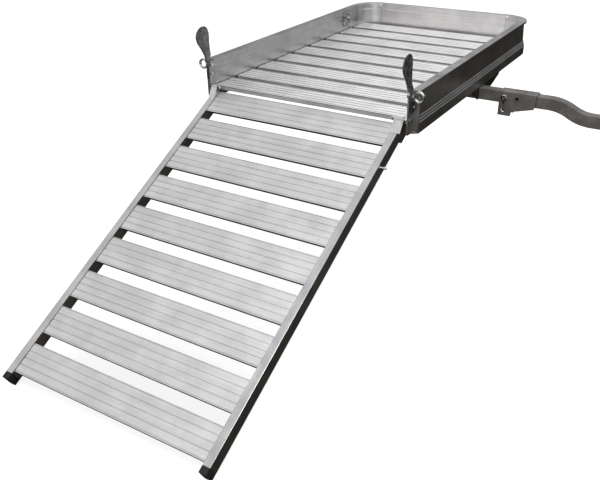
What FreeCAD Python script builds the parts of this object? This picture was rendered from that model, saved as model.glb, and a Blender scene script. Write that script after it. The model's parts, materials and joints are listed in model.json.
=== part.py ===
import FreeCAD, Part
import Sketcher
import math
import os

V = FreeCAD.Vector

# Driving dimensions in millimetres and degrees. The deck datum is the left rail's inner face (x = 0),
# the front edge of the first board (y = 0) and the top of the boards (z = 0). The part's own origin is
# the centre of the hitch pin hole, +X towards the vehicle, +Y along the deck away from the ramp, +Z up.
DIMENSIONS = {
    "deck_inner": 914.4,
    "board_pitch": 161.6,
    "board_width": 126.0,
    "board_height": 18.0,
    "board_skin": 3.0,
    "board_end_gap": 4.0,
    "groove_pitch": 27.0,
    "groove_depth": 2.4,
    "rail_above": 108.9,
    "rail_below": 57.0,
    "rail_start": 6.0,
    "rail_lip": 34.3,
    "rail_web": 22.5,
    "rail_foot": 37.0,
    "end_plate": 38.0,
    "rail_wall": 4.0,
    "bend_radius": 100.0,
    "deck_length": 1454.0,
    "stringer_width": 38.0,
    "stringer_height": 44.0,
    "stringer_inset": 240.0,
    "stringer_start": 130.0,
    "tube_size": 50.8,
    "tube_wall": 4.8,
    "tube_top": 62.0,
    "beam_left": -36.0,
    "gusset_top": 506.0,
    "gusset_front": 110.0,
    "gusset_bottom": 80.0,
    "gusset_wall": 5.0,
    "gusset_depth": 55.8,
    "gusset_flange": 30.0,
    "pivot_x": 1067.0,
    "lock_offset": 57.5,
    "beam_tail": 27.0,
    "pivot_bolt": 16.0,
    "pin_hole": 16.6,
    "running_gap": 0.05,
    "fixed_gap": 0.1,
    "bracket_left": 21.0,
    "bracket_right": 140.0,
    "bracket_wall": 5.0,
    "bracket_side_gap": 0.8,
    "bracket_lug": 81.0,
    "bracket_web_start": 88.0,
    "bracket_web_low": 22.4,
    "shank_start": 1163.0,
    "shank_bend": 1262.0,
    "shank_drop": 50.0,
    "shank_run": 186.0,
    "shank_end": 1690.0,
    "hitch_pin_x": 1610.0,
    "hinge_y": -14.0,
    "hinge_z": -4.0,
    "hinge_bolt": 10.0,
    "ear_radius": 12.5,
    "cheek_wall": 6.0,
    "cheek_reach": 28.0,
    "latch_z": 90.0,
    "latch_base_z": 50.0,
    "latch_base_bolt": 8.0,
    "eye_bolt": 10.0,
    "paddle_boss": 12.5,
    "paddle_length": 172.0,
    "paddle_thickness": 8.0,
    "paddle_joggle": 6.0,
    "paddle_rim": 2.5,
    "eye_outer": 47.0,
    "eye_stock": 11.0,
    "ramp_angle": 27.63,
    "ramp_drop": -18.3,
    "ramp_left": 2.0,
    "ramp_right": 890.4,
    "ramp_rail_width": 29.0,
    "ramp_rail_height": 51.5,
    "ramp_rail_wall": 3.0,
    "ramp_length": 1438.0,
    "slat_start": 8.0,
    "slat_pitch": 162.8,
    "slat_width": 117.4,
    "slat_height": 12.0,
    "slat_sink": 3.0,
    "slat_end_gap": 1.5,
    "hinge_block": 11.0,
    "foot_length": 24.0,
    "foot_plug": 30.0,
    "latch_pin_u": 219.0,
    "latch_pin_length": 21.5,
}
BOARD_COUNT = 9
SLAT_COUNT = 9
GROOVE_COUNT = 5
LATCH_LEAN = {"left": 17.5, "right": 19.5}

doc = FreeCAD.newDocument("HitchCargoCarrier")
sheet = doc.addObject("Spreadsheet::Sheet", "Sizes")
for row, (alias, number) in enumerate(DIMENSIONS.items(), start=1):
    sheet.set(f"A{row}", alias)
    sheet.set(f"B{row}", str(number))
    sheet.setAlias(f"B{row}", alias)
doc.recompute()

D = {alias: float(sheet.get(alias)) for alias in DIMENSIONS}
RAMP_TILT = math.radians(D["ramp_angle"])
TUBE_Y = D["deck_length"] / 2.0
TUBE_Z = -D["tube_top"] - D["tube_size"] / 2.0
SHANK_Z = TUBE_Z - 3.0
ORIGIN = V(D["hitch_pin_x"], TUBE_Y, SHANK_Z - D["shank_drop"])
NODES = []


# ---------------------------------------------------------------- placing
def keep(obj):
    """Adds an object to the list of separate pieces."""
    NODES.append(obj)
    return obj


def place(obj, x, y, z, axis=V(0, 0, 1), angle=0.0):
    """Puts an object at a point given from the deck datum."""
    obj.Placement = FreeCAD.Placement(V(x, y, z) - ORIGIN, FreeCAD.Rotation(axis, angle))
    return obj


def on_ramp(obj, x, down, up, angle=0.0):
    """Puts an object on the ramp: down along the slope and up off its top face."""
    across = V(x, 0, D["ramp_drop"])
    slope = V(0, -math.cos(RAMP_TILT), -math.sin(RAMP_TILT))
    normal = V(0, -math.sin(RAMP_TILT), math.cos(RAMP_TILT))
    point = across + slope * down + normal * up
    obj.Placement = FreeCAD.Placement(point - ORIGIN, FreeCAD.Rotation(V(1, 0, 0), D["ramp_angle"] + angle))
    obj.setExpression(".Placement.Rotation.Angle", f"Sizes.ramp_angle + {angle}")
    return obj


# ---------------------------------------------------------------- drawing
def new_body(label):
    body = doc.addObject("PartDesign::Body", label)
    body.Label = label
    return body


def new_sketch(body, plane, name):
    sketch = body.newObject("Sketcher::SketchObject", name)
    datum = [f for f in body.Origin.OriginFeatures if f.Role == plane + "_Plane"][0]
    sketch.AttachmentSupport = [(datum, "")]
    sketch.MapMode = "FlatFace"
    return sketch


def add_loop(sketch, points):
    """Draws a closed outline through (x, y) points."""
    first = sketch.GeometryCount
    count = len(points)
    for index in range(count):
        start = V(points[index][0], points[index][1], 0)
        end = V(points[(index + 1) % count][0], points[(index + 1) % count][1], 0)
        sketch.addGeometry(Part.LineSegment(start, end), False)
    for index in range(count):
        after = first + (index + 1) % count
        sketch.addConstraint(Sketcher.Constraint("Coincident", first + index, 2, after, 1))
    return first


def add_circle(sketch, x, y, radius, expression=None):
    """Draws a circle whose radius can follow an expression."""
    index = sketch.addGeometry(Part.Circle(V(x, y, 0), V(0, 0, 1), radius), False)
    number = sketch.addConstraint(Sketcher.Constraint("Radius", index, radius))
    if expression:
        sketch.setExpression(f"Constraints[{number}]", expression)
    return index


def add_pad(body, sketch, length, reverse=False):
    """Pads a sketch; length is a number or an expression on the sheet."""
    pad = body.newObject("PartDesign::Pad", sketch.Name + "Pad")
    pad.Profile = sketch
    pad.Reversed = reverse
    if isinstance(length, str):
        pad.setExpression("Length", length)
    else:
        pad.Length = length
    sketch.Visibility = False
    return pad


def add_pocket(body, sketch, depth, reverse=False):
    """Cuts a sketch out of the body and checks that something was removed."""
    doc.recompute()
    before = body.Shape.Volume
    pocket = body.newObject("PartDesign::Pocket", sketch.Name + "Pocket")
    pocket.Profile = sketch
    pocket.Length = depth
    pocket.Reversed = reverse
    doc.recompute()
    if body.Shape.Volume > before - 1e-3:
        raise RuntimeError(f"{body.Label}: {pocket.Name} removes nothing")
    return pocket


def padded(label, plane, loops, length, circles=(), reverse=False):
    """A body made from one sketch of outlines and circles, padded."""
    body = new_body(label)
    sketch = new_sketch(body, plane, label + "_profile")
    for points in loops:
        add_loop(sketch, points)
    for circle in circles:
        add_circle(sketch, *circle)
    add_pad(body, sketch, length, reverse)
    return body


def box(name, length, width, height):
    """A box whose sizes are numbers or expressions on the sheet."""
    obj = doc.addObject("Part::Box", name)
    for prop, value in (("Length", length), ("Width", width), ("Height", height)):
        if isinstance(value, str):
            obj.setExpression(prop, value)
        else:
            setattr(obj, prop, value)
    return obj


def cylinder(name, radius, height):
    """A cylinder standing on its local origin, sizes as in box()."""
    obj = doc.addObject("Part::Cylinder", name)
    for prop, value in (("Radius", radius), ("Height", height)):
        if isinstance(value, str):
            obj.setExpression(prop, value)
        else:
            setattr(obj, prop, value)
    return obj


def fused(label, pieces):
    obj = doc.addObject("Part::MultiFuse", label)
    obj.Label = label
    obj.Shapes = pieces
    return obj


def cut(label, base, tool):
    obj = doc.addObject("Part::Cut", label)
    obj.Label = label
    obj.Base = base
    obj.Tool = tool
    return obj


def hexagon(name, across_flats, height):
    obj = doc.addObject("Part::Prism", name)
    obj.Polygon = 6
    obj.Circumradius = across_flats / math.sqrt(3.0)
    obj.Height = height
    return obj


def along_x(obj, x, y, z):
    """Turns a standing primitive so that it points along +X from a point in the part's own frame."""
    obj.Placement = FreeCAD.Placement(V(x, y, z), FreeCAD.Rotation(V(0, 1, 0), 90))
    return obj


def along_y(obj, x, y, z):
    obj.Placement = FreeCAD.Placement(V(x, y, z), FreeCAD.Rotation(V(1, 0, 0), -90))
    return obj


def at(obj, x, y, z):
    obj.Placement = FreeCAD.Placement(V(x, y, z), FreeCAD.Rotation())
    return obj


# ---------------------------------------------------------------- extruded planks
def plank_profile(width, height, skin, edge=1.5):
    """Section of a grooved plank, open below: (y, z) with y from 0 to width and the top face at z = 0."""
    top = []
    depth = D["groove_depth"]
    margin = (width - (GROOVE_COUNT - 1) * D["groove_pitch"]) / 2.0
    for index in range(GROOVE_COUNT):
        middle = margin + index * D["groove_pitch"]
        top += [(middle - 1.8, 0.0), (middle - 1.4, -depth), (middle + 1.4, -depth), (middle + 1.8, 0.0)]
    below = []
    legs = [width - skin, width * 2.0 / 3.0 - skin / 2.0, width / 3.0 - skin / 2.0, 0.0]
    roof = -depth - 2.2
    for index, left in enumerate(legs):
        right = left + skin
        if index > 0:
            below.append((right, roof))
        below += [(right, -height), (left, -height)]
        if index < len(legs) - 1:
            below.append((left, roof))
    return [(0.0, -edge), (edge, 0.0)] + top + [(width - edge, 0.0), (width, -edge)] + below


def build_boards():
    """The nine deck boards, laid across the deck between the side rails."""
    profile = plank_profile(D["board_width"], D["board_height"], D["board_skin"])
    length = "Sizes.deck_inner - 2 * Sizes.board_end_gap"
    for index in range(BOARD_COUNT):
        body = padded(f"deck_board_{index + 1}", "YZ", [profile], length)
        front = index * D["board_pitch"]
        if front + D["board_width"] > D["deck_length"] - D["bend_radius"]:
            round_off_corners(body, front)
        keep(place(body, D["board_end_gap"], front, 0.0))


def round_off_corners(body, front):
    """Clips both rear corners of the last board so that they follow the rail's bends."""
    radius = D["bend_radius"]
    start = D["deck_length"] - radius
    arc = []
    for step in range(6):
        turn = math.radians(step * 9.5)
        x = radius - (radius - 1.0) * math.cos(turn)
        y = start + (radius - 1.0) * math.sin(turn)
        arc.append((x - D["board_end_gap"], y - front))
    beyond = D["board_width"] + 5.0
    outside = [(-5.0, beyond), (-5.0, arc[0][1])] + arc + [(arc[-1][0], beyond)]
    for side in ("left", "right"):
        sketch = new_sketch(body, "XY", f"board_corner_{side}")
        points = outside
        if side == "right":
            points = [(D["deck_inner"] - 2.0 * D["board_end_gap"] - x, y) for x, y in outside]
        add_loop(sketch, points)
        add_pocket(body, sketch, D["board_height"] + 2.0)


def build_ramp_slats():
    """The nine ramp slats, the same section as the boards and a little narrower."""
    profile = plank_profile(D["slat_width"], D["slat_height"], D["board_skin"])
    left = D["ramp_left"] + D["ramp_rail_width"] + D["slat_end_gap"]
    length = "Sizes.ramp_right - Sizes.ramp_left - 2 * (Sizes.ramp_rail_width + Sizes.slat_end_gap)"
    for index in range(SLAT_COUNT):
        body = padded(f"ramp_slat_{index + 1}", "YZ", [profile], length)
        down = D["slat_start"] + index * D["slat_pitch"] + D["slat_width"]
        keep(on_ramp(body, left, down, -D["slat_sink"]))


# ---------------------------------------------------------------- deck rails
def rail_profile():
    """Outer and inner outlines of the deck rail: (u, z) with u outwards from the inner face."""
    top = D["rail_above"]
    low = -D["rail_below"]
    lip = D["rail_lip"]
    web = D["rail_web"]
    foot = D["rail_foot"]
    wall = D["rail_wall"]
    waist = (web + 5.0, 8.0)
    ribs = []
    for index in range(4):
        part = index / 3.0
        u = waist[0] + (foot - waist[0]) * part
        z = waist[1] - 30.0 * part
        ribs.append((u, z))
        if index < 3:
            ribs += [(u + 3.0, z - 3.2), (u + 3.0, z - 7.0)]
    outline = [(0.0, top), (lip, top), (lip, top - 10.0), (lip - 3.5, top - 10.0), (lip - 3.5, top - wall)]
    outline += [(web, top - wall)] + ribs + [(foot, low), (0.0, low)]
    outline += [(0.0, 78.0), (0.8, 79.0), (0.8, 82.0), (0.0, 83.0)]
    upper = [(wall, top - wall), (web - wall, top - wall), (web + 1.0 - wall, 38.0), (wall, 38.0)]
    lower = [(wall, 34.0), (web + 1.0 - wall, 34.0), (waist[0] - wall, waist[1]), (foot - wall, -22.0)]
    lower += [(foot - wall, low + wall), (wall, low + wall)]
    return [outline, upper, lower]


def build_rails():
    """Two side rails and a back rail, joined by two bent corners."""
    loops = rail_profile()
    mirrored = [[(-u, z) for u, z in loop] for loop in loops]
    radius = D["bend_radius"]
    length = "Sizes.deck_length - Sizes.bend_radius - Sizes.rail_start"
    left = padded("rail_left", "XZ", mirrored, length, reverse=True)
    keep(place(left, 0.0, D["rail_start"], 0.0))
    right = padded("rail_right", "XZ", loops, length, reverse=True)
    keep(place(right, D["deck_inner"], D["rail_start"], 0.0))
    back = padded("rail_back", "YZ", loops, "Sizes.deck_inner - 2 * Sizes.bend_radius")
    keep(place(back, radius, D["deck_length"], 0.0))
    centres = {"right": (D["deck_inner"] - radius, 0.0), "left": (radius, 90.0)}
    for side, (centre, turn) in centres.items():
        body = new_body(f"rail_corner_{side}")
        sketch = new_sketch(body, "XZ", f"corner_profile_{side}")
        for loop in loops:
            add_loop(sketch, [(radius + u, z) for u, z in loop])
        bend = body.newObject("PartDesign::Revolution", f"corner_bend_{side}")
        bend.Profile = sketch
        bend.ReferenceAxis = (sketch, ["V_Axis"])
        bend.Angle = 90.0
        doc.recompute()
        if body.Shape.BoundBox.YMax < radius:
            bend.Reversed = True
        keep(place(body, centre, D["deck_length"] - radius, 0.0, V(0, 0, 1), turn))


# ---------------------------------------------------------------- under the deck
def tube_loops(size, wall):
    half = size / 2.0
    inner = half - wall
    outer_loop = [(-half, -half), (half, -half), (half, half), (-half, half)]
    inner_loop = [(-inner, -inner), (inner, -inner), (inner, inner), (-inner, inner)]
    return [outer_loop, inner_loop]


def drill_y(body, name, holes, reach):
    """Drills round holes along Y; holes are (x, z, radius, expression) in the body's own frame."""
    sketch = new_sketch(body, "XZ", name)
    for x, z, radius, expression in holes:
        add_circle(sketch, x, z, radius, expression)
    doc.recompute()
    before = body.Shape.Volume
    pocket = body.newObject("PartDesign::Pocket", name + "Pocket")
    pocket.Profile = sketch
    pocket.Type = 1
    pocket.Midplane = True
    doc.recompute()
    removed = before - body.Shape.Volume
    if removed < reach:
        raise RuntimeError(f"{body.Label}: {name} removes only {removed:.1f}")


def build_under_deck():
    """Stringers below the boards, the carrier tube below the stringers and its two gusset plates."""
    height = D["stringer_height"]
    width = D["stringer_width"]
    wall = 3.0
    outer_loop = [(0.0, -height), (width, -height), (width, 0.0), (0.0, 0.0)]
    inner_loop = [(wall, wall - height), (width - wall, wall - height), (width - wall, -wall), (wall, -wall)]
    places = {"left": D["stringer_inset"], "right": D["deck_inner"] - D["stringer_inset"] - width}
    for side, x in places.items():
        length = "Sizes.deck_length - 2 * Sizes.stringer_start"
        body = padded(f"stringer_{side}", "XZ", [outer_loop, inner_loop], length, reverse=True)
        keep(place(body, x, D["stringer_start"], -D["board_height"]))
    tail = D["pivot_x"] + D["lock_offset"] + D["beam_tail"]
    tube = padded("carrier_tube", "YZ", tube_loops(D["tube_size"], D["tube_wall"]), tail - D["beam_left"])
    pivot = D["pivot_x"] - D["beam_left"]
    holes = [
        (pivot, 0.0, 8.0 + D["running_gap"], "Sizes.pivot_bolt / 2 + Sizes.running_gap"),
        (pivot + D["lock_offset"], 0.0, D["pin_hole"] / 2.0, "Sizes.pin_hole / 2"),
    ]
    drill_y(tube, "carrier_tube_holes", holes, 1000.0)
    keep(place(tube, D["beam_left"], TUBE_Y, TUBE_Z))
    build_gussets()


def build_ledges():
    """Angle strips on the side rails' inner faces that carry the ends of the boards."""
    outline = [(0.0, 0.0), (22.0, 0.0), (22.0, -3.0), (3.0, -3.0), (3.0, -24.0), (0.0, -24.0)]
    mirrored = [(-x, z) for x, z in outline]
    left = padded("ledge_left", "XZ", [outline], "Sizes.deck_length - 134.0", reverse=True)
    keep(place(left, 0.0, 30.0, -D["board_height"]))
    right = padded("ledge_right", "XZ", [mirrored], "Sizes.deck_length - 134.0", reverse=True)
    keep(place(right, D["deck_inner"], 30.0, -D["board_height"]))


def build_gussets():
    """Folded steel gussets: a flange under the rail and a tapered plate notched over the tube."""
    half_top = D["gusset_top"] / 2.0
    front_top = -D["gusset_front"]
    half_low = D["gusset_bottom"] / 2.0
    half_tube = D["tube_size"] / 2.0
    wall = D["gusset_wall"]
    shoulder = D["gusset_depth"] - 20.0
    for side in ("left", "right"):
        outline = [(front_top, 0.0), (half_top, 0.0), (half_top, -8.0), (150.0, -shoulder)]
        outline += [(half_low, -D["gusset_depth"]), (half_tube, -D["gusset_depth"]), (half_tube, -wall)]
        outline += [(-half_tube, -wall), (-half_tube, -D["gusset_depth"]), (-half_low, -D["gusset_depth"])]
        outline += [(front_top, -8.0)]
        body = padded(f"gusset_{side}", "YZ", [outline], "Sizes.gusset_wall")
        flange = new_sketch(body, "XY", f"gusset_flange_{side}")
        reach = -D["gusset_flange"] if side == "right" else D["gusset_flange"] + wall
        start = wall if side == "right" else 0.0
        add_loop(flange, [(start, front_top), (reach, front_top), (reach, half_top), (start, half_top)])
        add_pad(body, flange, wall, reverse=True)
        x = D["deck_inner"] + D["rail_foot"] - wall if side == "right" else -D["rail_foot"]
        keep(place(body, x, TUBE_Y, -D["rail_below"]))


# ---------------------------------------------------------------- folding hitch arm
def build_bracket():
    """Two side plates with the fold pivot and both lock-pin holes, joined by a web over the shank."""
    wall = D["bracket_wall"]
    inner = D["tube_size"] / 2.0 + D["bracket_side_gap"]
    top = D["bracket_web_low"] + wall
    left = -D["bracket_left"]
    right = D["bracket_right"]
    lug = -D["bracket_lug"]
    side = [(left, lug), (left + 56.0, lug), (left + 60.0, -61.0), (right - 4.0, -36.0), (right, top)]
    side += [(left, top)]
    body = new_body("fold_bracket")
    sketch = new_sketch(body, "XZ", "bracket_side")
    add_loop(sketch, side)
    add_pad(body, sketch, 2.0 * (inner + wall), reverse=True)
    hollow = new_sketch(body, "YZ", "bracket_hollow")
    far = wall + 2.0 * inner
    add_loop(hollow, [(wall, -120.0), (far, -120.0), (far, top - wall), (wall, top - wall)])
    doc.recompute()
    before = body.Shape.Volume
    pocket = body.newObject("PartDesign::Pocket", "bracket_hollow_cut")
    pocket.Profile = hollow
    pocket.Type = 1
    pocket.Midplane = True
    doc.recompute()
    if body.Shape.Volume > before * 0.6:
        raise RuntimeError("the bracket's channel was not cut")
    slot = new_sketch(body, "XY", "bracket_slot")
    end = D["bracket_web_start"]
    add_loop(slot, [(left - 1.0, wall), (end, wall), (end, far), (left - 1.0, far)])
    add_pocket(body, slot, top + 1.0, reverse=True)
    lock = D["lock_offset"]
    holes = [
        (0.0, 0.0, 8.0 + D["fixed_gap"], "Sizes.pivot_bolt / 2 + Sizes.fixed_gap"),
        (lock, 0.0, D["pin_hole"] / 2.0, "Sizes.pin_hole / 2"),
        (0.0, -lock, D["pin_hole"] / 2.0, "Sizes.pin_hole / 2"),
    ]
    drill_y(body, "bracket_holes", holes, 1000.0)
    keep(place(body, D["pivot_x"], TUBE_Y - inner - wall, TUBE_Z))


def shank_path():
    """Points and tangent arcs of the shank's centre line in its own XZ plane."""
    drop = D["shank_drop"]
    run = D["shank_run"]
    turn = 2.0 * math.atan2(drop, run)
    radius = run / (2.0 * math.sin(turn))
    start = D["shank_bend"] - D["shank_start"]
    end = D["shank_end"] - D["shank_start"]
    return start, run, drop, radius, turn, end


def build_shank():
    """The S-bent square tube that slides into the receiver, with its hitch pin hole."""
    start, run, drop, radius, turn, end = shank_path()
    body = new_body("shank")
    path = new_sketch(body, "XZ", "shank_path")
    high = V(start, -radius, 0)
    low = V(start + run, radius - drop, 0)
    up = V(0, 0, 1)
    first = Part.ArcOfCircle(Part.Circle(high, up, radius), math.pi / 2.0 - turn, math.pi / 2.0)
    second = Part.ArcOfCircle(Part.Circle(low, up, radius), 1.5 * math.pi - turn, 1.5 * math.pi)
    path.addGeometry(Part.LineSegment(V(0, 0, 0), V(start, 0, 0)), False)
    path.addGeometry(first, False)
    path.addGeometry(second, False)
    path.addGeometry(Part.LineSegment(V(start + run, -drop, 0), V(end, -drop, 0)), False)
    path.addConstraint(Sketcher.Constraint("Coincident", 0, 2, 1, 2))
    path.addConstraint(Sketcher.Constraint("Coincident", 1, 1, 2, 1))
    path.addConstraint(Sketcher.Constraint("Coincident", 2, 2, 3, 1))
    section = new_sketch(body, "YZ", "shank_section")
    for loop in tube_loops(D["tube_size"], D["tube_wall"] + 1.2):
        add_loop(section, loop)
    pipe = body.newObject("PartDesign::AdditivePipe", "shank_sweep")
    pipe.Profile = section
    pipe.Spine = (path, [])
    doc.recompute()
    pin = D["hitch_pin_x"] - D["shank_start"]
    drill_y(body, "hitch_pin_hole", [(pin, -drop, D["pin_hole"] / 2.0, "Sizes.pin_hole / 2")], 1000.0)
    keep(place(body, D["shank_start"], TUBE_Y, SHANK_Z))


def build_pivot_hardware():
    """The fold pivot bolt with washers and nut, and the spring clip that hangs on its end."""
    half = D["tube_size"] / 2.0 + D["bracket_side_gap"] + D["bracket_wall"]
    x = D["pivot_x"] - ORIGIN.x
    z = TUBE_Z - ORIGIN.z
    bolt = along_y(cylinder("pivot_shaft", "Sizes.pivot_bolt / 2", 2.0 * half + 22.0), x, -half - 9.0, z)
    head = along_y(hexagon("pivot_head", 24.0, 9.0), x, half + 2.5, z)
    washer_far = along_y(cylinder("pivot_washer_far", 15.0, 2.5), x, half, z)
    washer_near = along_y(cylinder("pivot_washer_near", 15.0, 2.5), x, -half - 2.5, z)
    nut = along_y(hexagon("pivot_nut", 21.0, 6.0), x, -half - 8.5, z)
    keep(fused("fold_pivot_bolt", [bolt, head, washer_far, washer_near, nut]))
    wire = 1.8
    ring = doc.addObject("Part::Torus", "clip_loop")
    ring.Radius1 = 9.8
    ring.Radius2 = wire
    ring.Placement = FreeCAD.Placement(V(x, -half - 11.2, z), FreeCAD.Rotation(V(1, 0, 0), 90))
    leg = cylinder("clip_leg", 2.6, 16.0)
    leg.Placement = FreeCAD.Placement(V(x + 3.0, -half - 11.2, z - 25.0), FreeCAD.Rotation(V(0, 1, 0), -2))
    keep(fused("pivot_clip", [ring, leg]))


# ---------------------------------------------------------------- front corners
def side_x(side, outwards):
    """x on the deck of a point that lies outwards from a side rail's inner face."""
    if side == "right":
        return D["deck_inner"] + outwards
    return -outwards


def x_span(side, near, far):
    """Lowest x and length of a span between two outward distances."""
    ends = sorted((side_x(side, near), side_x(side, far)))
    return ends[0], ends[1] - ends[0]


def build_corner_bracket(side):
    """End plate over the rail's end and the cheek that carries the hinge, latch and eye bolts."""
    wall = D["cheek_wall"]
    low = -D["rail_below"] - 4.0
    high = D["rail_above"] - 5.0
    start, span = x_span(side, 0.0, D["end_plate"])
    body = new_body(f"corner_bracket_{side}")
    plate = new_sketch(body, "XZ", f"end_plate_{side}")
    cheek_left = 0.0 if side == "right" else span - wall
    inner = span if side == "right" else 0.0
    near = cheek_left + wall if side == "right" else cheek_left
    far = 0.0 if side == "right" else span
    outline = [(far, low), (near, low), (inner, low + 7.0), (inner, high), (far, high)]
    add_loop(plate, outline)
    for inset in (12.0, 30.0):
        add_circle(plate, abs(far - inset), low + 14.0, 2.6)
    add_pad(body, plate, wall, reverse=True)
    cheek = new_sketch(body, "YZ", f"cheek_{side}")
    reach = -D["cheek_reach"]
    edge = [(0.0, low), (reach + 6.0, low), (reach, low + 8.0), (reach, high - 10.0)]
    edge += [(reach + 10.0, high), (0.0, high)]
    add_loop(cheek, edge)
    add_pad(body, cheek, wall)
    doc.recompute()
    if side == "left":
        cheek.AttachmentOffset = FreeCAD.Placement(V(0, 0, cheek_left), FreeCAD.Rotation())
    holes = new_sketch(body, "YZ", f"cheek_holes_{side}")
    if side == "left":
        holes.AttachmentOffset = FreeCAD.Placement(V(0, 0, cheek_left), FreeCAD.Rotation())
    add_circle(holes, D["hinge_y"], D["hinge_z"], 5.1, "Sizes.hinge_bolt / 2 + Sizes.fixed_gap")
    add_circle(holes, D["hinge_y"], D["latch_base_z"], 4.1, "Sizes.latch_base_bolt / 2 + Sizes.fixed_gap")
    add_circle(holes, D["hinge_y"], D["latch_z"], 5.1, "Sizes.eye_bolt / 2 + Sizes.fixed_gap")
    add_pocket(body, holes, wall + 1.0, reverse=True)
    keep(place(body, start, 0.0, 0.0))


def build_hinge_bolt(side):
    """Bolt through the cheek and the ramp's ear, with its head outside and its nut inside."""
    wall = D["cheek_wall"]
    y = D["hinge_y"] - ORIGIN.y
    z = D["hinge_z"] - ORIGIN.z
    if side == "right":
        ear_inner = D["ramp_right"] - D["ramp_rail_width"]
        tip, head = ear_inner - 12.0, D["deck_inner"] + wall
        nut = ear_inner - 9.0
    else:
        ear_inner = D["ramp_left"] + D["ramp_rail_width"]
        tip, head = ear_inner + 12.0, -wall
        nut = ear_inner + 1.0
    low = min(tip, head)
    shaft = cylinder(f"hinge_shaft_{side}", "Sizes.hinge_bolt / 2", abs(head - tip))
    along_x(shaft, low - ORIGIN.x, y, z)
    head_start = head if side == "right" else head - 6.0
    cap = along_x(hexagon(f"hinge_head_{side}", 17.0, 6.0), head_start - ORIGIN.x, y, z)
    lock = along_x(hexagon(f"hinge_nut_{side}", 17.0, 8.0), nut - ORIGIN.x, y, z)
    keep(fused(f"hinge_bolt_{side}", [shaft, cap, lock]))


def build_hinge_spacer():
    """Sleeve that fills the wider gap between the right ear and the right cheek."""
    near = D["ramp_right"] + D["hinge_block"] + 0.4
    length = D["deck_inner"] - near - 0.4
    x = near - ORIGIN.x
    y = D["hinge_y"] - ORIGIN.y
    z = D["hinge_z"] - ORIGIN.z
    outer_wall = along_x(cylinder("spacer_outer", 8.5, length), x, y, z)
    bore = along_x(cylinder("spacer_bore", "Sizes.hinge_bolt / 2 + Sizes.fixed_gap", length), x, y, z)
    keep(cut("hinge_spacer", outer_wall, bore))


def build_latch_base(side):
    """The block below the latch and the bolt that holds it on the cheek."""
    wall = D["cheek_wall"]
    start, span = x_span(side, wall, wall + 12.0)
    y = D["hinge_y"] - ORIGIN.y
    z = D["latch_base_z"] - ORIGIN.z
    block = at(box(f"latch_block_{side}", span, 24.0, 38.0), start - ORIGIN.x, y - 12.0, z - 20.0)
    hole_start = start - 1.0 - ORIGIN.x
    hole_radius = "Sizes.latch_base_bolt / 2 + Sizes.fixed_gap"
    hole = along_x(cylinder(f"latch_block_hole_{side}", hole_radius, span + 2.0), hole_start, y, z)
    keep(cut(f"latch_base_{side}", block, hole))
    outside, head_span = x_span(side, wall + 12.0, wall + 17.0)
    shaft_start, shaft_span = x_span(side, -6.0, wall + 12.0)
    inside, nut_span = x_span(side, -5.0, 0.0)
    head = along_x(hexagon(f"latch_bolt_head_{side}", 13.0, head_span), outside - ORIGIN.x, y, z)
    shaft = cylinder(f"latch_bolt_shaft_{side}", "Sizes.latch_base_bolt / 2", shaft_span)
    along_x(shaft, shaft_start - ORIGIN.x, y, z)
    nut = along_x(hexagon(f"latch_bolt_nut_{side}", 13.0, nut_span), inside - ORIGIN.x, y, z)
    keep(fused(f"latch_base_bolt_{side}", [head, shaft, nut]))


def build_eye_bolt(side):
    """Eye bolt through the cheek: the latch turns on its shank and the eye stands outboard."""
    wall = D["cheek_wall"]
    y = D["hinge_y"] - ORIGIN.y
    z = D["latch_z"] - ORIGIN.z
    ring_radius = (D["eye_outer"] - D["eye_stock"]) / 2.0
    middle = wall + 11.0 + D["eye_outer"] / 2.0
    ring = doc.addObject("Part::Torus", f"eye_ring_{side}")
    ring.Radius1 = ring_radius
    ring.setExpression("Radius2", "Sizes.eye_stock / 2")
    centre = V(side_x(side, middle), D["hinge_y"], D["latch_z"]) - ORIGIN
    ring.Placement = FreeCAD.Placement(centre, FreeCAD.Rotation(V(1, 0, 0), 90))
    start, span = x_span(side, -8.0, middle - ring_radius)
    shaft = along_x(cylinder(f"eye_shank_{side}", "Sizes.eye_bolt / 2", span), start - ORIGIN.x, y, z)
    collar_start, collar_span = x_span(side, wall + 9.8, wall + 14.0)
    collar = along_x(cylinder(f"eye_collar_{side}", 8.0, collar_span), collar_start - ORIGIN.x, y, z)
    nut_start, nut_span = x_span(side, -7.0, 0.0)
    nut = along_x(hexagon(f"eye_nut_{side}", 16.0, nut_span), nut_start - ORIGIN.x, y, z)
    keep(fused(f"eye_bolt_{side}", [ring, shaft, collar, nut]))


def neck_outline():
    """The round boss at the pivot and the neck that rises from it: (y, z) from the pivot's centre."""
    radius = D["paddle_boss"]
    points = [(-15.0, 42.0), (-17.0, 28.0), (-14.0, 16.0)]
    for step in range(11):
        turn = math.radians(180.0 + step * 18.0)
        points.append((radius * math.cos(turn), radius * math.sin(turn)))
    return points + [(14.0, 16.0), (17.0, 28.0), (15.0, 42.0)]


def blade_outline():
    """The paddle's rounded blade: (y, z) from the pivot's centre, widest near the free end."""
    right = [(15.0, 22.0), (20.0, 30.0), (21.0, 44.0), (22.5, 58.0), (26.0, 72.0)]
    right += [(32.0, 93.0), (40.0, 113.0), (43.0, 134.0), (39.0, 152.0), (24.0, 166.0)]
    left = [(-y, z) for y, z in reversed(right)]
    return right + [(0.0, D["paddle_length"])] + left


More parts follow.
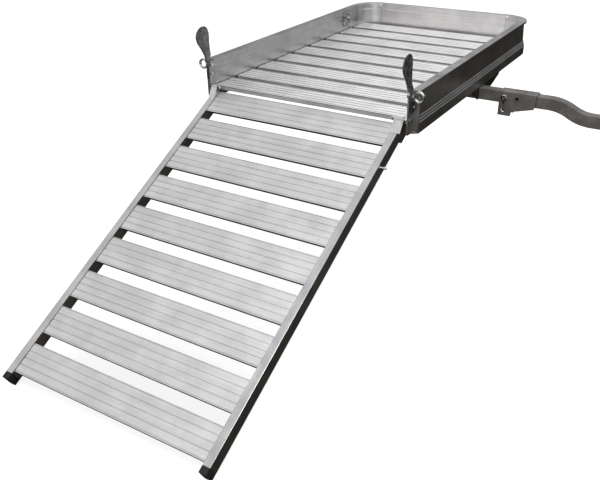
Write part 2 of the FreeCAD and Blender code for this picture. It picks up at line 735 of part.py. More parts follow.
def build_paddle(side):
    """Spoon-shaped latch paddle: a boss that turns on the eye bolt and a wide blade joggled inwards."""
    thick = D["paddle_thickness"]
    boss_near, boss_span = x_span(side, D["cheek_wall"] + 1.2, D["cheek_wall"] + 1.2 + thick)
    blade_near, blade_span = x_span(side, D["cheek_wall"] + 1.2 - D["paddle_joggle"], D["cheek_wall"] + 1.2)
    blade_start = blade_near if side == "right" else boss_near + D["paddle_joggle"]
    body = new_body(f"latch_paddle_{side}")
    blade = new_sketch(body, "YZ", f"paddle_blade_{side}")
    blade.AttachmentOffset = FreeCAD.Placement(V(0, 0, blade_start - boss_near), FreeCAD.Rotation())
    curve = Part.BSplineCurve()
    curve.interpolate([V(y, z, 0) for y, z in blade_outline()], True)
    blade.addGeometry(curve, False)
    pad = add_pad(body, blade, "Sizes.paddle_thickness")
    doc.recompute()
    rims = [f"Edge{index + 1}" for index, edge in enumerate(pad.Shape.Edges) if edge.BoundBox.XLength < 0.1]
    rounded = body.newObject("PartDesign::Fillet", f"paddle_rim_{side}")
    rounded.Base = (pad, rims)
    rounded.setExpression("Radius", "Sizes.paddle_rim")
    doc.recompute()
    neck = new_sketch(body, "YZ", f"paddle_neck_{side}")
    add_loop(neck, neck_outline())
    add_circle(neck, 0.0, 0.0, 5.0 + D["running_gap"], "Sizes.eye_bolt / 2 + Sizes.running_gap")
    add_pad(body, neck, "Sizes.paddle_thickness")
    keep(place(body, boss_near, D["hinge_y"], D["latch_z"], V(1, 0, 0), LATCH_LEAN[side]))


def build_front_corners():
    for side in ("left", "right"):
        build_corner_bracket(side)
        build_hinge_bolt(side)
        build_latch_base(side)
        build_eye_bolt(side)
        build_paddle(side)
    build_hinge_spacer()


def build_rear_eyes():
    """Tie-down eyes on the side rails near the rear bends: a strap plate, its two screws and an eye."""
    for side in ("left", "right"):
        y = 1180.0 - ORIGIN.y
        z = 60.0 - ORIGIN.z
        start, span = x_span(side, -4.0, 0.0)
        plate = at(box(f"rear_plate_{side}", span, 70.0, 76.0), start - ORIGIN.x, y - 10.0, z - 38.0)
        ring = doc.addObject("Part::Torus", f"rear_ring_{side}")
        ring.Radius1 = 15.0
        ring.Radius2 = 4.0
        centre = V(side_x(side, -22.0) - ORIGIN.x, y, z)
        ring.Placement = FreeCAD.Placement(centre, FreeCAD.Rotation(V(1, 0, 0), 90))
        post_start, post_span = x_span(side, -7.0, -4.0)
        post = along_x(cylinder(f"rear_post_{side}", 5.0, post_span + 2.0), post_start - 1.0 - ORIGIN.x, y, z)
        heads = []
        for number, (dy, dz) in enumerate(((42.0, 24.0), (42.0, -24.0))):
            head_start, head_span = x_span(side, -7.0, -4.0)
            head = cylinder(f"rear_screw_{side}_{number}", 6.0, head_span)
            heads.append(along_x(head, head_start - ORIGIN.x, y + dy, z + dz))
        keep(fused(f"rear_eye_{side}", [plate, ring, post] + heads))


# ---------------------------------------------------------------- ramp frame
def build_ramp_rails():
    """Rectangular side tubes of the ramp, their hinge ears and the block beside the right ear."""
    width = D["ramp_rail_width"]
    height = D["ramp_rail_height"]
    wall = D["ramp_rail_wall"]
    outer_loop = [(0.0, -height), (width, -height), (width, 0.0), (0.0, 0.0)]
    inner_loop = [(wall, wall - height), (width - wall, wall - height), (width - wall, -wall), (wall, -wall)]
    starts = {"left": D["ramp_left"], "right": D["ramp_right"] - width}
    hinge = V(0, D["hinge_y"], D["hinge_z"] - D["ramp_drop"])
    hinge_down = -hinge.y * math.cos(RAMP_TILT) - hinge.z * math.sin(RAMP_TILT)
    hinge_up = -hinge.y * math.sin(RAMP_TILT) + hinge.z * math.cos(RAMP_TILT)
    for side, x in starts.items():
        body = padded(f"ramp_rail_{side}", "XZ", [outer_loop, inner_loop], "Sizes.ramp_length")
        keep(on_ramp(body, x, 0.0, 0.0))
        ear = new_body(f"ramp_ear_{side}")
        sketch = new_sketch(ear, "YZ", f"ear_outline_{side}")
        add_loop(sketch, ear_outline(hinge_down, hinge_up))
        bore = "Sizes.hinge_bolt / 2 + Sizes.running_gap"
        add_circle(sketch, -hinge_down, hinge_up, 5.0 + D["running_gap"], bore)
        wider = " + Sizes.hinge_block" if side == "right" else ""
        add_pad(ear, sketch, "Sizes.ramp_rail_width" + wider)
        keep(on_ramp(ear, x, 0.0, 0.0))
    block_side = [(-62.0, -height), (0.0, -height), (0.0, 0.0), (-62.0, 0.0)]
    block = padded("ramp_hinge_block", "YZ", [block_side], "Sizes.hinge_block")
    keep(on_ramp(block, D["ramp_right"], 0.0, 0.0))


def ear_outline(hinge_down, hinge_up):
    """A foot on the rail's top face that rises to a round eye: (y, z) in the ramp's own plane."""
    radius = D["ear_radius"]
    points = [(-60.0, 0.0)]
    for step in range(13):
        turn = math.radians(150.0 - step * 17.5)
        points.append((-hinge_down + radius * math.cos(turn), hinge_up + radius * math.sin(turn)))
    points.append((-hinge_down - 4.0, 0.0))
    return points


def build_ramp_feet():
    """Rubber end caps on the lower ends of the ramp rails, each with a plug inside the tube."""
    width = D["ramp_rail_width"]
    height = D["ramp_rail_height"]
    starts = {"left": D["ramp_left"], "right": D["ramp_right"] - width}
    inset = D["ramp_rail_wall"] + 0.2
    for side, x in starts.items():
        body = new_body(f"foot_cap_{side}")
        block = new_sketch(body, "XZ", f"foot_block_{side}")
        add_loop(block, [(0.0, -height), (width, -height), (width, 0.0), (0.0, 0.0)])
        add_pad(body, block, "Sizes.foot_length")
        plug = new_sketch(body, "XZ", f"foot_plug_{side}")
        far, low = width - inset, inset - height
        add_loop(plug, [(inset, low), (far, low), (far, -inset), (inset, -inset)])
        add_pad(body, plug, "Sizes.foot_plug", reverse=True)
        keep(on_ramp(body, x, D["ramp_length"], 0.0))


def build_latch_pin():
    """Short pin on the outer face of the ramp's right rail."""
    pin = cylinder("latch_pin", 4.5, "Sizes.latch_pin_length")
    pin.Label = "latch_pin"
    x = D["ramp_right"]
    slope = V(0, -math.cos(RAMP_TILT), -math.sin(RAMP_TILT))
    normal = V(0, -math.sin(RAMP_TILT), math.cos(RAMP_TILT))
    point = V(x, 0, D["ramp_drop"]) + slope * D["latch_pin_u"] - normal * 20.0
    along_x(pin, point.x - ORIGIN.x, point.y - ORIGIN.y, point.z - ORIGIN.z)
    keep(pin)


def finish():
    """Checks every object and writes one file for each piece."""
    doc.recompute()
    for obj in doc.Objects:
        if "Invalid" in obj.State or "Error" in obj.State:
            raise RuntimeError(f"{obj.Name}: {obj.State}")
    os.makedirs("parts", exist_ok=True)
    for obj in NODES:
        if obj.Shape.isNull() or not obj.Shape.isValid() or not obj.Shape.Solids:
            raise RuntimeError(f"{obj.Label}: no valid solid")
    for obj in NODES:
        obj.Shape.exportStep(f"parts/{obj.Label}.step")
    print(len(NODES), "pieces written")


build_boards()
build_rails()
build_under_deck()
build_ledges()
build_bracket()
build_shank()
build_pivot_hardware()
build_front_corners()
build_rear_eyes()
build_ramp_rails()
build_ramp_slats()
build_ramp_feet()
build_latch_pin()
finish()
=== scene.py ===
import json
import math

import bmesh
import bpy
from mathutils import Matrix, Vector


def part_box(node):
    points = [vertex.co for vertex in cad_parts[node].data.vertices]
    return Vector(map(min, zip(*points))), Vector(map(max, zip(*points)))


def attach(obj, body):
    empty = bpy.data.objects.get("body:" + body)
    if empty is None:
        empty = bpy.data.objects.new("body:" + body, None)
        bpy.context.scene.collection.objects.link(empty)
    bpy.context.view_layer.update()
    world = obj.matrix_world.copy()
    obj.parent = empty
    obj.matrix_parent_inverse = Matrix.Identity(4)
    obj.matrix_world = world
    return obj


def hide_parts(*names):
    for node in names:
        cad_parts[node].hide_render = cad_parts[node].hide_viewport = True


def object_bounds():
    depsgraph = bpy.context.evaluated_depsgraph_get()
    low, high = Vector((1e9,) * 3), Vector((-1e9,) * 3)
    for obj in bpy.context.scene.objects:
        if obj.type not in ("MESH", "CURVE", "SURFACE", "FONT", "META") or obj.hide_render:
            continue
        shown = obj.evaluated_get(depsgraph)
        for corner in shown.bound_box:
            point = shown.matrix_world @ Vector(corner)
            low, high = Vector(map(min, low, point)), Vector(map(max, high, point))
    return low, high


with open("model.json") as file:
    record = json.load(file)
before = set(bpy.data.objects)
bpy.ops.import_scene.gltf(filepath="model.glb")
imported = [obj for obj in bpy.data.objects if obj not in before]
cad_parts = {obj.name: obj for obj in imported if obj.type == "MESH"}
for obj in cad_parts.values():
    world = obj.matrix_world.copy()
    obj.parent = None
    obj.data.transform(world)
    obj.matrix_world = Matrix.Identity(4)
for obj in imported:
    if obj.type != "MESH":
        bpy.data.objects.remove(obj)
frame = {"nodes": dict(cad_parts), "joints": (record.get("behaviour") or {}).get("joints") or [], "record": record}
cad_low, cad_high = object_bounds()
NODES = frame["nodes"]
MEMBERS = frame["record"]["behaviour"]["bodies"]
BODIES = {node: body for body, members in MEMBERS.items() for node in members}
SLOTS = {part["node"]: part["material_slot"] for part in frame["record"]["subparts"]}
JOINTS = {joint["name"]: joint for joint in frame["joints"]}
MM = 0.001
RAMP_TILT = math.radians(27.63)
X_AXIS, Y_AXIS, Z_AXIS = 0, 1, 2

# The deck boards: a board has five grooves, and a sixth step of the pitch falls in the gap behind it.
BOARD_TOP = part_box("deck_board_1")[1].z
BOARD_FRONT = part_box("deck_board_1")[0].y
BOARD_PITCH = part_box("deck_board_2")[0].y - BOARD_FRONT
# FIRST_GROOVE and GROOVE_PITCH place the lines of painted groove shadow in the boards' colour.
FIRST_GROOVE = 9.0 * MM
GROOVE_PITCH = BOARD_PITCH / 6.0

# The ramp is measured from its datum, where the line of its rails' top faces meets the deck's front edge.
DATUM_DROP = 18.3 * MM
SLAT_COUNT = 9
SLAT_START = 8.0 * MM
SLAT_PITCH = 162.8 * MM
SLAT_SINK = 3.0 * MM
RAMP_SLOPE = Vector((0.0, -math.cos(RAMP_TILT), -math.sin(RAMP_TILT)))
RAMP_NORMAL = Vector((0.0, -math.sin(RAMP_TILT), math.cos(RAMP_TILT)))
RAMP_DATUM = Vector((0.0, BOARD_FRONT, BOARD_TOP - DATUM_DROP))
SLAT_TOP = RAMP_DATUM.dot(RAMP_NORMAL) - SLAT_SINK

CAMERA_LENS = 43.72
CAMERA_PLACE = (0.325, -3.179, 1.049)
CAMERA_TURN_DEG = (61.53, 0.70, 31.27)

# Linear colours of the sky that the metal mirrors, and of the painted shade in the grooves and on the front edges
# of the planks.
SKY_FRONT = (0.95, 0.94, 0.93)
SKY_BACK = (0.30, 0.29, 0.31)
SKY_RIGHT = (0.046, 0.045, 0.040)
SKY_OVERHEAD = (0.70, 0.69, 0.70)
GROUND = (0.030, 0.027, 0.021)
GROOVE_SHADE = (0.05, 0.047, 0.042)
FRONT_EDGE_SHADE = (0.045, 0.042, 0.036)
GROOVE_SHADOW_TONE = (0.20, 0.195, 0.19)


# ---------------------------------------------------------------- camera, floor and light
def make_camera():
    data = bpy.data.cameras.new("camera")
    data.lens = CAMERA_LENS
    data.sensor_width = 36.0
    data.clip_start = 0.05
    data.clip_end = 200.0
    camera = bpy.data.objects.new("camera", data)
    bpy.context.scene.collection.objects.link(camera)
    camera.location = CAMERA_PLACE
    camera.rotation_euler = [math.radians(angle) for angle in CAMERA_TURN_DEG]
    bpy.context.scene.camera = camera


def make_floor():
    """A white studio floor that the metal doesn't mirror."""
    size = 60.0
    z = cad_low.z - 0.0005
    mesh = bpy.data.meshes.new("floor")
    corners = [(-size, -size, z), (size, -size, z), (size, size, z), (-size, size, z)]
    mesh.from_pydata(corners, [], [(0, 1, 2, 3)])
    floor = bpy.data.objects.new("floor", mesh)
    bpy.context.scene.collection.objects.link(floor)
    floor.visible_diffuse = False
    floor.visible_glossy = False
    mat = bpy.data.materials.new("floor_white")
    mat.use_nodes = True
    nodes = mat.node_tree.nodes
    links = mat.node_tree.links
    nodes.clear()
    out = nodes.new("ShaderNodeOutputMaterial")
    mix = nodes.new("ShaderNodeAddShader")
    glow = nodes.new("ShaderNodeEmission")
    glow.inputs["Color"].default_value = (1.0, 1.0, 1.0, 1.0)
    glow.inputs["Strength"].default_value = 0.80
    matt = nodes.new("ShaderNodeBsdfDiffuse")
    matt.inputs["Color"].default_value = (0.6, 0.6, 0.6, 1.0)
    links.new(glow.outputs[0], mix.inputs[0])
    links.new(matt.outputs[0], mix.inputs[1])
    links.new(mix.outputs[0], out.inputs["Surface"])
    mesh.materials.append(mat)


def make_world():
    """A studio sky: bright overhead and to the front, dim to the back and right, dark below."""
    world = bpy.data.worlds.new("studio")
    bpy.context.scene.world = world
    world.use_nodes = True
    tree = world.node_tree
    tree.nodes.clear()
    out = tree.nodes.new("ShaderNodeOutputWorld")
    light = tree.nodes.new("ShaderNodeBackground")
    seen = tree.nodes.new("ShaderNodeBackground")
    seen.inputs["Color"].default_value = (1.0, 1.0, 1.0, 1.0)
    choose = tree.nodes.new("ShaderNodeMixShader")
    path = tree.nodes.new("ShaderNodeLightPath")
    coords = tree.nodes.new("ShaderNodeTexCoord")
    split = tree.nodes.new("ShaderNodeSeparateXYZ")
    tree.links.new(coords.outputs["Generated"], split.inputs[0])

    def ramped(value, low, high):
        node = tree.nodes.new("ShaderNodeMapRange")
        node.interpolation_type = "SMOOTHSTEP"
        node.inputs["From Min"].default_value = low
        node.inputs["From Max"].default_value = high
        tree.links.new(value, node.inputs["Value"])
        return node.outputs["Result"]

    def blended(factor, first, second):
        node = tree.nodes.new("ShaderNodeMix")
        node.data_type = "RGBA"
        tree.links.new(factor, node.inputs["Factor"])
        for value, socket in ((first, node.inputs["A"]), (second, node.inputs["B"])):
            if isinstance(value, tuple):
                socket.default_value = (*value, 1.0)
            else:
                tree.links.new(value, socket)
        return node.outputs["Result"]

    back = ramped(split.outputs["Y"], -0.5, 0.8)
    right = ramped(split.outputs["X"], 0.1, 1.0)
    height = ramped(split.outputs["Z"], 0.25, 0.85)
    above = ramped(split.outputs["Z"], -0.04, 0.08)
    low_sky = blended(back, SKY_FRONT, SKY_BACK)
    low_sky = blended(right, low_sky, SKY_RIGHT)
    sky = blended(height, low_sky, SKY_OVERHEAD)
    colour = blended(above, GROUND, sky)
    tree.links.new(colour, light.inputs["Color"])
    tree.links.new(path.outputs["Is Camera Ray"], choose.inputs["Fac"])
    tree.links.new(light.outputs[0], choose.inputs[1])
    tree.links.new(seen.outputs[0], choose.inputs[2])
    tree.links.new(choose.outputs[0], out.inputs["Surface"])


def make_softbox(name, place, target, size, power):
    data = bpy.data.lights.new(name, "AREA")
    data.shape = "RECTANGLE"
    data.size, data.size_y = size
    data.energy = power
    lamp = bpy.data.objects.new(name, data)
    bpy.context.scene.collection.objects.link(lamp)
    lamp.location = place
    lamp.rotation_mode = "QUATERNION"
    lamp.rotation_quaternion = (Vector(target) - Vector(place)).to_track_quat("-Z", "Y")


def make_lights():
    """Two weak softboxes: one over the rear of the deck, one over the ramp's lower right corner."""
    deck_target = (-1.10, 0.55, 0.14)
    ramp_target = (-0.85, -1.9, -0.5)
    make_softbox("deck_softbox", (-1.10, 0.75, 1.75), deck_target, size=(1.2, 0.9), power=11.0)
    make_softbox("ramp_softbox", (-0.35, -2.1, 1.0), ramp_target, size=(0.8, 0.8), power=10.0)


# ---------------------------------------------------------------- materials
class Finish:
    """A procedural material: its Principled shader and short helpers for the node chains."""

    def __init__(self, name, metallic, roughness):
        self.material = bpy.data.materials.new(name)
        self.material.use_nodes = True
        self.tree = self.material.node_tree
        self.shader = self.tree.nodes["Principled BSDF"]
        self.shader.inputs["Metallic"].default_value = metallic
        self.shader.inputs["Roughness"].default_value = roughness
        coordinates = self.tree.nodes.new("ShaderNodeTexCoord")
        self.place = coordinates.outputs["Object"]
        self.facing = coordinates.outputs["Normal"]

    def link(self, source, socket):
        self.tree.links.new(source, socket)

    def drive(self, socket, source):
        self.link(source, self.shader.inputs[socket])

    def stretched(self, scale, turn=0.0):
        """The object's own coordinates turned about X, then scaled axis by axis."""
        place = self.place
        if turn:
            turned = self.tree.nodes.new("ShaderNodeMapping")
            turned.inputs["Rotation"].default_value = (turn, 0.0, 0.0)
            self.link(place, turned.inputs["Vector"])
            place = turned.outputs["Vector"]
        node = self.tree.nodes.new("ShaderNodeMapping")
        node.inputs["Scale"].default_value = scale
        self.link(place, node.inputs["Vector"])
        return node.outputs["Vector"]

    def noise(self, vector, scale, detail=3.0, rough=0.5):
        node = self.tree.nodes.new("ShaderNodeTexNoise")
        node.inputs["Scale"].default_value = scale
        node.inputs["Detail"].default_value = detail
        node.inputs["Roughness"].default_value = rough
        self.link(vector, node.inputs["Vector"])
        return node.outputs["Fac"]

    def span(self, value, low, high, to_low, to_high):
        node = self.tree.nodes.new("ShaderNodeMapRange")
        node.interpolation_type = "SMOOTHSTEP"
        limits = (("From Min", low), ("From Max", high), ("To Min", to_low), ("To Max", to_high))
        for name, number in limits:
            node.inputs[name].default_value = number
        self.link(value, node.inputs["Value"])
        return node.outputs["Result"]

    def tint(self, factor, first, second):
        """A colour between two; either may be a plain (r, g, b) or another chain's output."""
        node = self.tree.nodes.new("ShaderNodeMix")
        node.data_type = "RGBA"
        self.link(factor, node.inputs["Factor"])
        for value, socket in ((first, node.inputs["A"]), (second, node.inputs["B"])):
            if isinstance(value, tuple):
                socket.default_value = (*value, 1.0)
            else:
                self.link(value, socket)
        return node.outputs["Result"]

    def combine(self, operation, first, second):
        node = self.tree.nodes.new("ShaderNodeMath")
        node.operation = operation
        for value, socket in ((first, node.inputs[0]), (second, node.inputs[1])):
            if isinstance(value, float):
                socket.default_value = value
            else:
                self.link(value, socket)
        return node.outputs["Value"]

    def dot(self, vector, fixed):
        """How far a vector reaches along a fixed direction."""
        node = self.tree.nodes.new("ShaderNodeVectorMath")
        node.operation = "DOT_PRODUCT"
        node.inputs[1].default_value = fixed
        self.link(vector, node.inputs[0])
        return node.outputs["Value"]

    def bump(self, height, distance, under=None):
        node = self.tree.nodes.new("ShaderNodeBump")
        node.inputs["Distance"].default_value = distance
        self.link(height, node.inputs["Height"])
        if under is not None:
            self.link(under, node.inputs["Normal"])
        return node.outputs["Normal"]

    def edge_wear(self, radius):
        """1 on sharp outer edges and 0 on flat faces."""
        rounded = self.tree.nodes.new("ShaderNodeBevel")
        rounded.inputs["Radius"].default_value = radius
        true = self.tree.nodes.new("ShaderNodeNewGeometry")
        node = self.tree.nodes.new("ShaderNodeVectorMath")
        node.operation = "DOT_PRODUCT"
        self.link(rounded.outputs["Normal"], node.inputs[0])
        self.link(true.outputs["Normal"], node.inputs[1])
        return self.span(node.outputs["Value"], 0.80, 0.99, 1.0, 0.0)


def groove_shadow(finish, first, pitch, reach):
    """1 at each of the deck's evenly spaced grooves, fading to 0 at reach (in pitches) from it."""
    split = finish.tree.nodes.new("ShaderNodeSeparateXYZ")
    finish.link(finish.place, split.inputs[0])
    steps = finish.combine("DIVIDE", finish.combine("SUBTRACT", split.outputs["Y"], first), pitch)
    phase = finish.combine("FRACT", finish.combine("ADD", steps, 100.5), 0.0)
    offset = finish.combine("ABSOLUTE", finish.combine("SUBTRACT", phase, 0.5), 0.0)
    return finish.span(offset, 0.03, reach, 1.0, 0.0)


def plank_painted_shade(finish, grains, tone, normal, height, strength, edge_strength):
    """Painted shade in the grooves of a plank, darker with depth, and on its front edge below the top skin."""
    level = finish.dot(finish.place, normal)
    # Painted shade: the colour darkens with depth below the top face, down into each groove.
    in_groove = finish.span(level, height - 1.8 * MM, height - 0.4 * MM, strength, 0.0)
    above_floor = finish.span(level, height - 3.6 * MM, height - 2.8 * MM, 0.0, 1.0)
    in_groove = finish.combine("MULTIPLY", in_groove, above_floor)
    patchy = finish.combine("MULTIPLY", in_groove, finish.span(grains, 0.2, 0.5, 0.75, 1.0))
    tone = finish.tint(patchy, tone, GROOVE_SHADE)
    # Painted shade: faces below the top skin that face forwards, down the slope, are darkened to stand in for the
    # dark ground they mirror.
    below_skin = finish.span(level, height - 3.4 * MM, height - 1.2 * MM, edge_strength, 0.0)
    forwards = (0.0, -normal[2], normal[1])
    front_edge = finish.span(finish.dot(finish.facing, forwards), 0.5, 0.9, 0.0, 1.0)
    grime_and_shade = finish.combine("MULTIPLY", below_skin, front_edge)
    return finish.tint(grime_and_shade, tone, FRONT_EDGE_SHADE)


def extruded_aluminium(
    name, along, turn, dull, light, metallic, rough_low, rough_high, top=None, grooves=None
):
    """Mill-finish extrusion: die lines along its length, handling smudges and a few scuffs.

    top gives a plank's face for its painted shade in the grooves and on the front edge, and grooves gives the
    deck's groove lines for their painted shadow.
    """
    finish = Finish(name, metallic, rough_low)
    fine = [1400.0, 1400.0, 1400.0]
    wide = [110.0, 110.0, 110.0]
    for axis in along:
        fine[axis] = 5.0
        wide[axis] = 3.0
    die_lines = finish.noise(finish.stretched(fine, turn), 1.0, 2.0)
    bands = finish.noise(finish.stretched(wide, turn), 1.0, 3.0)
    smudges = finish.noise(finish.place, 9.0, 5.0, 0.62)
    grains = finish.noise(finish.place, 420.0, 2.0, 0.7)
    scuffs = finish.span(finish.noise(finish.place, 55.0, 4.0, 0.75), 0.66, 0.74, 0.0, 1.0)
    faint_bands = finish.combine("MULTIPLY", bands, 0.35)
    mottle = finish.combine("ADD", faint_bands, finish.combine("MULTIPLY", smudges, 0.65))
    tone = finish.tint(finish.span(mottle, 0.36, 0.64, 0.0, 1.0), dull, light)
    scuffed = tuple(0.80 * value for value in dull)
    tone = finish.tint(finish.combine("MULTIPLY", scuffs, 0.35), tone, scuffed)
    if top is not None:
        tone = plank_painted_shade(finish, grains, tone, *top)
    if grooves is not None:
        # Painted shadow along the deck's groove lines darkens the colour.
        painted_groove_shadow = finish.combine("MULTIPLY", groove_shadow(finish, *grooves), 0.40)
        tone = finish.tint(painted_groove_shadow, tone, GROOVE_SHADOW_TONE)
    finish.drive("Base Color", tone)
    fine_lines = finish.combine("MULTIPLY", die_lines, 0.4)
    uneven = finish.combine("ADD", finish.combine("MULTIPLY", smudges, 0.6), fine_lines)
    rough = finish.span(uneven, 0.32, 0.68, rough_low, rough_high)
    finish.drive("Roughness", finish.combine("ADD", rough, finish.combine("MULTIPLY", scuffs, 0.10)))
    grain = finish.bump(grains, 0.00006)
    finish.drive("Normal", finish.bump(die_lines, 0.00012, grain))
    return finish.material


def powder_coat(name, colour, dusty, worn, roughness):
    """Sprayed and baked paint: orange peel, settled dust and edges rubbed through."""
    finish = Finish(name, 0.0, roughness)
    finish.shader.inputs["Specular IOR Level"].default_value = 0.35
    peel = finish.noise(finish.place, 520.0, 2.0, 0.4)
    dust = finish.noise(finish.place, 14.0, 5.0, 0.65)
    specks = finish.noise(finish.place, 240.0, 3.0, 0.6)
    chips = finish.combine("MULTIPLY", finish.edge_wear(0.0016), finish.span(specks, 0.42, 0.60, 0.0, 1.0))
    tone = finish.tint(finish.span(dust, 0.38, 0.66, 0.0, 1.0), colour, dusty)
    finish.drive("Base Color", finish.tint(chips, tone, worn))
    finish.drive("Roughness", finish.span(dust, 0.30, 0.70, roughness - 0.07, roughness + 0.14))
    finish.drive("Normal", finish.bump(peel, 0.00022))
    return finish.material


def zinc_plate(name, dull, light, grime_and_shade):
    """Zinc plate: a cloudy passivated film over bright steel, with grime in patches."""
    finish = Finish(name, 1.0, 0.25)
    cloud = finish.noise(finish.place, 95.0, 4.0, 0.6)
    grime = finish.noise(finish.place, 30.0, 4.0, 0.7)
    tone = finish.tint(finish.span(cloud, 0.35, 0.65, 0.0, 1.0), dull, light)
    finish.drive("Base Color", finish.tint(finish.span(grime, *grime_and_shade, 0.0, 0.6), tone, (0.30, 0.29, 0.26)))
    finish.drive("Roughness", finish.span(cloud, 0.30, 0.70, 0.16, 0.36))
    finish.drive("Normal", finish.bump(finish.noise(finish.place, 900.0, 2.0), 0.00004))
    return finish.material


def glossy_grip():
    """Dark glossy enamel on the latch paddles, with fine swirl scratches from hands; its base tones are lighter
    than black enamel, a painted reflection of the sky the paddles mirror.
    """
    finish = Finish("black_grip", 0.0, 0.2)
    finish.shader.inputs["Coat Weight"].default_value = 0.6
    finish.shader.inputs["Coat Roughness"].default_value = 0.12
    swirls = finish.noise(finish.stretched((260.0, 260.0, 40.0)), 1.0, 3.0, 0.6)
    prints = finish.noise(finish.place, 48.0, 4.0, 0.6)
    prints_and_sheen = finish.span(prints, 0.38, 0.66, 0.0, 1.0)
    tone = finish.tint(prints_and_sheen, (0.075, 0.077, 0.085), (0.20, 0.205, 0.22))
    rub = finish.combine("MULTIPLY", finish.edge_wear(0.0012), finish.span(prints, 0.45, 0.62, 0.0, 0.8))
    finish.drive("Base Color", finish.tint(rub, tone, (0.42, 0.42, 0.43)))
    finish.drive("Roughness", finish.span(prints, 0.32, 0.70, 0.16, 0.36))
    finish.drive("Normal", finish.bump(swirls, 0.00006))
    return finish.material


def moulded_rubber():
    """Dusty moulded rubber with a fine pebble."""
    finish = Finish("rubber", 0.0, 0.8)
    finish.shader.inputs["Sheen Weight"].default_value = 0.04
    pebble = finish.noise(finish.place, 700.0, 3.0, 0.6)
    dust = finish.noise(finish.place, 60.0, 4.0, 0.65)
    dusty = finish.span(dust, 0.42, 0.72, 0.0, 1.0)
    finish.drive("Base Color", finish.tint(dusty, (0.011, 0.011, 0.011), (0.028, 0.027, 0.025)))
    finish.drive("Roughness", finish.span(dust, 0.30, 0.70, 0.70, 0.92))
    finish.drive("Normal", finish.bump(pebble, 0.00025))
    return finish.material


def weld_metal(name, cool, hot, metallic):
    """Weld bead: rippled metal with darker, heat-stained patches."""
    finish = Finish(name, metallic, 0.42)
    stain = finish.noise(finish.place, 120.0, 4.0, 0.65)
    ripple = finish.noise(finish.place, 620.0, 2.0, 0.5)
    finish.drive("Base Color", finish.tint(finish.span(stain, 0.38, 0.66, 0.0, 1.0), cool, hot))
    finish.drive("Roughness", finish.span(stain, 0.30, 0.70, 0.32, 0.55))
    finish.drive("Normal", finish.bump(ripple, 0.0003))
    return finish.material


# The aluminium pieces are one metal. Their different base tones are painted light and shade: lighter for the
# boards and back rail, darker for the rails, ramp frame and plates, and in between for the slats and corners.
PLANK = extruded_aluminium(
    "aluminium_plank", [X_AXIS], 0.0, (0.72, 0.715, 0.72), (0.84, 0.835, 0.84), 0.82, 0.42, 0.58,
    (RAMP_NORMAL, SLAT_TOP, 0.12, 0.92)
)
BOARD_LIT = extruded_aluminium(
    "aluminium_board_lit", [X_AXIS], 0.0, (0.91, 0.905, 0.91), (0.99, 0.985, 0.99), 0.82, 0.44, 0.60,
    ((0.0, 0.0, 1.0), BOARD_TOP, 0.97, 0.30), (BOARD_FRONT + FIRST_GROOVE, GROOVE_PITCH, 0.25)
)
RAIL_SHADED = extruded_aluminium(
    "aluminium_rail_shaded", [X_AXIS, Y_AXIS], 0.0, (0.47, 0.47, 0.47), (0.59, 0.59, 0.58), 1.0, 0.27, 0.40
)
BACK_RAIL_LIT = extruded_aluminium(
    "aluminium_back_rail_lit", [X_AXIS], 0.0, (0.78, 0.77, 0.77), (0.93, 0.92, 0.91), 1.0, 0.27, 0.40
)
CORNER_RAIL = extruded_aluminium(
    "aluminium_corner", [X_AXIS, Y_AXIS], 0.0, (0.66, 0.655, 0.655), (0.80, 0.795, 0.79), 1.0, 0.30, 0.42
)
FRAME_SHADED = extruded_aluminium(
    "aluminium_frame_shaded", [Y_AXIS], -RAMP_TILT, (0.58, 0.58, 0.59), (0.74, 0.74, 0.73), 1.0, 0.28, 0.42
)
PLATE_SHADED = extruded_aluminium(
    "aluminium_plate_shaded", [Z_AXIS], 0.0, (0.44, 0.435, 0.42), (0.56, 0.555, 0.54), 1.0, 0.32, 0.46
)
CHARCOAL = powder_coat(
    "charcoal_paint", (0.180, 0.170, 0.160), (0.255, 0.243, 0.226), (0.42, 0.41, 0.40), 0.55
)
BLACK = powder_coat("black_steel", (0.018, 0.018, 0.019), (0.046, 0.044, 0.041), (0.12, 0.115, 0.11), 0.46)
ZINC = zinc_plate("zinc_hardware", (0.70, 0.71, 0.72), (0.86, 0.86, 0.84), (0.60, 0.78))
# A darker zinc tone, used on the rear eyes.
DARK_ZINC = zinc_plate("zinc_dark", (0.20, 0.20, 0.20), (0.52, 0.52, 0.51), (0.45, 0.60))
GRIP = glossy_grip()
RUBBER = moulded_rubber()
WELD = weld_metal("weld_aluminium", (0.80, 0.80, 0.79), (0.52, 0.51, 0.50), 0.9)
PAINTED_WELD = weld_metal("weld_painted", (0.175, 0.166, 0.156), (0.20, 0.19, 0.18), 0.0)

SLOT_MATERIALS = {
    "aluminium": RAIL_SHADED,
    "charcoal_paint": CHARCOAL,
    "black_steel": BLACK,
    "zinc_hardware": ZINC,
    "black_grip": GRIP,
    "rubber": RUBBER,
}


def material_of(node):
    if node.startswith("deck_board"):
        return BOARD_LIT
    if node.startswith("ramp_slat"):
        return PLANK
    if node.startswith(("ramp_rail", "ramp_ear")):
        return FRAME_SHADED
    if node.startswith(("corner_bracket", "ramp_hinge_block")):
        return PLATE_SHADED
    if node.startswith("rail_corner"):
        return CORNER_RAIL
    if node == "rail_back":
        return BACK_RAIL_LIT
    if node.startswith("rear_eye"):
        return DARK_ZINC
    return SLOT_MATERIALS[SLOTS[node]]


